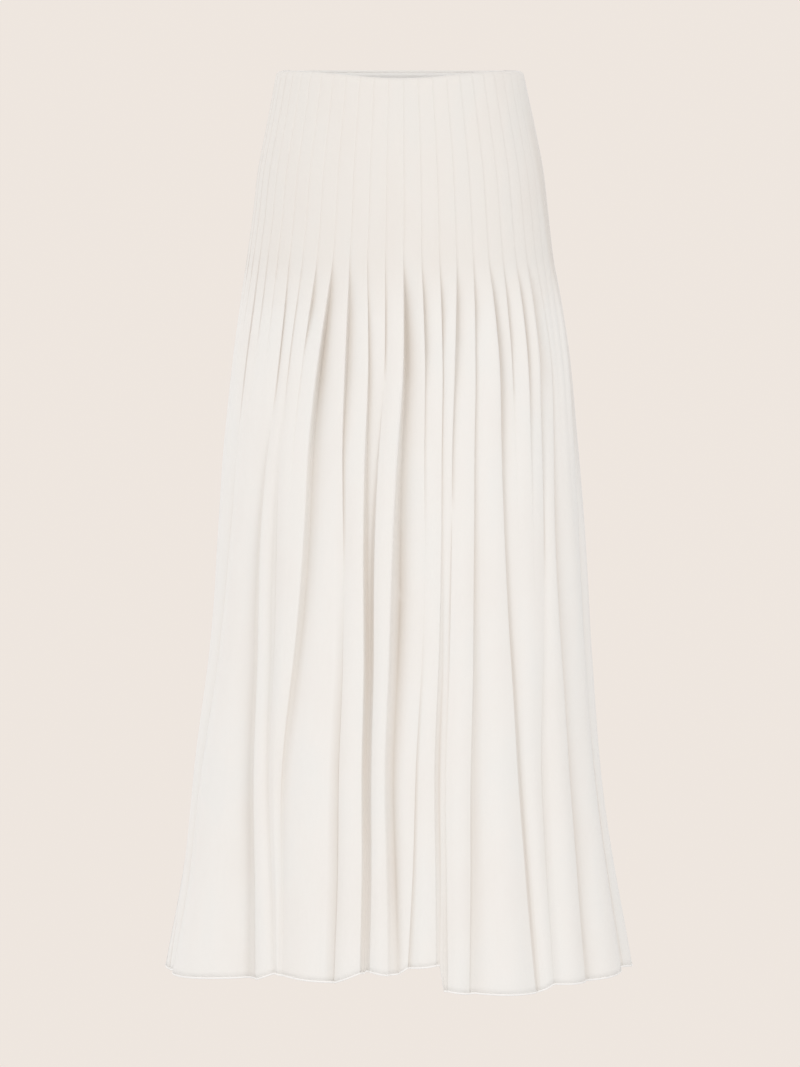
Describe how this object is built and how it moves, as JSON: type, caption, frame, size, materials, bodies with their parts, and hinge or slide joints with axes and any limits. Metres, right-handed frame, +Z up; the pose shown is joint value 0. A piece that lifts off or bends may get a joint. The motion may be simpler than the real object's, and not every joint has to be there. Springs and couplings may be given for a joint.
{
  "type": "pleated skirt",
  "caption": "Long ivory muslin skirt in its worn, hollow form: narrow knife pleats stitched flat from waist to hip open into soft full-length flutes.",
  "frame": {"origin": "middle of the waist opening, level with the top edge at the sides, where the wearer holds the skirt", "axes": "+Z up along the wearer, +X to the viewer's right when the front is seen, -Y towards the front"},
  "size_m": [0.4913, 0.3454, 0.941],
  "materials": {
    "muslin": "matte ivory muslin in a fine plain weave with a faint crepe surface",
    "facing": "matte ivory muslin, interfaced and pressed flat",
    "zip_tape": "matte ivory knitted tape with a nylon coil",
    "zip_metal": "satin nickel"
  },
  "bodies": {
    "skirt": {"skirt_front": "muslin", "skirt_back": "muslin", "facing_front": "facing", "facing_back": "facing", "zip_tape": "zip_tape", "zip_slider": "zip_metal"},
    "pull": {"zip_pull": "zip_metal"}
  },
  "joints": [
    {"name": "pull_hinge", "type": "hinge", "parent": "skirt", "child": "pull", "pos_m": [0.12116, 0.02449, -0.00589], "axis": [0.3329, -0.943, 0], "range_deg": [0, 165]}
  ]
}
